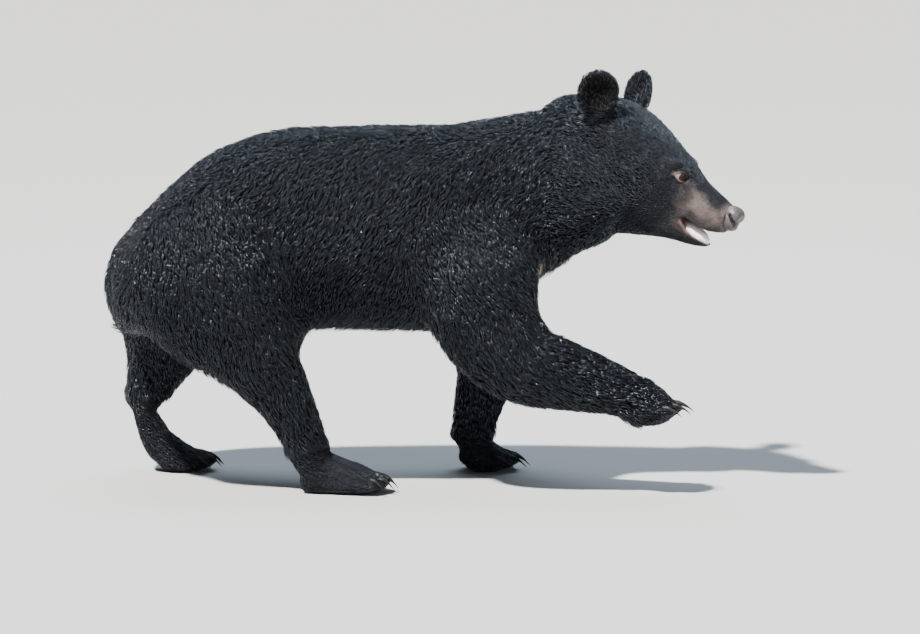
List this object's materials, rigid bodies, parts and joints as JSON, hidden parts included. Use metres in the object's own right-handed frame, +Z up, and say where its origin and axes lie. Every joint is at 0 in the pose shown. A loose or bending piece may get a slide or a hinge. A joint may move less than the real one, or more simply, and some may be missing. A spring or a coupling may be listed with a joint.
{
  "type": "black bear model",
  "caption": "Life-size still model of a young Asiatic black bear in mid stride, one forepaw raised, mouth slightly open.",
  "frame": {"origin": "middle of the bounding box's base, on the floor that the three planted soles share", "axes": "+X the way the bear walks, +Y its left side, +Z up"},
  "size_m": [0.9978, 0.3538, 0.6607],
  "materials": {
    "coat": "dense black fur with a damp sheen",
    "eye": "moist brown eye",
    "nose": "moist grey bare skin",
    "tongue": "moist pink",
    "claw": "dark horn"
  },
  "bodies": {
    "root": {"chest": "coat", "loins": "coat", "neck": "coat", "head": "coat", "lower_jaw": "coat", "tail": "coat", "ear_left": "coat", "ear_right": "coat", "upper_foreleg_left": "coat", "forearm_left": "coat", "forepaw_left": "coat", "thigh_left": "coat", "shank_left": "coat", "hindfoot_left": "coat", "upper_foreleg_right": "coat", "forearm_right": "coat", "forepaw_right": "coat", "thigh_right": "coat", "shank_right": "coat", "hindfoot_right": "coat", "eye_left": "eye", "eye_right": "eye", "nose": "nose", "tongue": "tongue", "claw_fore_left_1": "claw", "claw_fore_left_2": "claw", "claw_fore_left_3": "claw", "claw_fore_left_4": "claw", "claw_fore_left_5": "claw", "claw_fore_right_1": "claw", "claw_fore_right_2": "claw", "claw_fore_right_3": "claw", "claw_fore_right_4": "claw", "claw_fore_right_5": "claw", "claw_hind_left_1": "claw", "claw_hind_left_2": "claw", "claw_hind_left_3": "claw", "claw_hind_left_4": "claw", "claw_hind_left_5": "claw", "claw_hind_right_1": "claw", "claw_hind_right_2": "claw", "claw_hind_right_3": "claw", "claw_hind_right_4": "claw", "claw_hind_right_5": "claw"}
  },
  "joints": []
}
